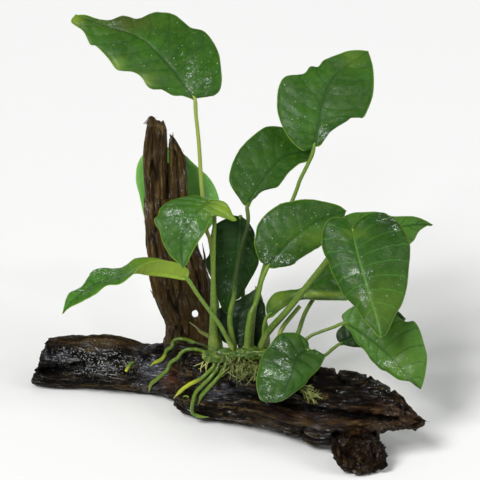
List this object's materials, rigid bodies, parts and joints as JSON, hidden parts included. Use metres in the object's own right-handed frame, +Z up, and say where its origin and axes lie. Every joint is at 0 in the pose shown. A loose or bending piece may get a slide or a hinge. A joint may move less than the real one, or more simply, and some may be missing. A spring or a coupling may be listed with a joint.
{
  "type": "aquarium plant on driftwood",
  "caption": "Anubias with broad leaves on thin stalks, its creeping stem and roots holding on to a forked piece of dark driftwood.",
  "frame": {"origin": "on the surface that the object rests on, in the flat under the thickest part of the driftwood", "axes": "+Z up, +X along the driftwood towards its ragged brown tip, -Y towards the side that most leaf faces look to"},
  "size_m": [0.2058, 0.1246, 0.1925],
  "materials": {
    "dark_wood": "wet, near-black driftwood",
    "brown_wood": "wet, dark brown driftwood",
    "blade_green": "wet, waxy leaf",
    "blade_dark": "wet, waxy leaf in shade",
    "stalk_green": "smooth, moist stalk",
    "root_green": "moist root"
  },
  "bodies": {
    "root": {"driftwood_left_arm": "dark_wood", "driftwood_right_arm": "brown_wood", "driftwood_upright": "dark_wood", "driftwood_left_prong": "dark_wood", "driftwood_right_prong": "dark_wood", "driftwood_foot": "dark_wood", "rhizome": "stalk_green", "stalk_stub": "stalk_green", "bud_sheath": "stalk_green", "root_1": "root_green", "root_2": "root_green", "root_3": "root_green", "root_4": "root_green", "root_5": "root_green", "root_short": "root_green", "root_loose_end": "root_green", "root_tangle_middle": "root_green", "root_tangle_right": "root_green", "leaf_top_left_blade": "blade_green", "leaf_top_left_stalk": "stalk_green", "leaf_top_right_blade": "blade_green", "leaf_top_right_stalk": "stalk_green", "leaf_middle_blade": "blade_green", "leaf_middle_stalk": "stalk_green", "leaf_folded_blade": "blade_green", "leaf_folded_stalk": "stalk_green", "leaf_far_left_blade": "blade_green", "leaf_far_left_stalk": "stalk_green", "leaf_centre_blade": "blade_green", "leaf_centre_stalk": "stalk_green", "leaf_hanging_blade": "blade_dark", "leaf_hanging_stalk": "stalk_green", "leaf_heart_blade": "blade_green", "leaf_heart_stalk": "stalk_green", "leaf_right_back_blade": "blade_green", "leaf_right_back_stalk": "stalk_green", "leaf_level_blade": "blade_green", "leaf_level_stalk": "stalk_green", "leaf_low_front_blade": "blade_green", "leaf_low_front_stalk": "stalk_green", "leaf_low_right_blade": "blade_green", "leaf_low_right_stalk": "stalk_green", "leaf_low_back_blade": "blade_dark", "leaf_low_back_stalk": "stalk_green", "leaf_inner_blade": "blade_dark", "leaf_inner_stalk": "stalk_green", "leaf_behind_upright_blade": "blade_green", "leaf_behind_upright_stalk": "stalk_green"}
  },
  "joints": []
}
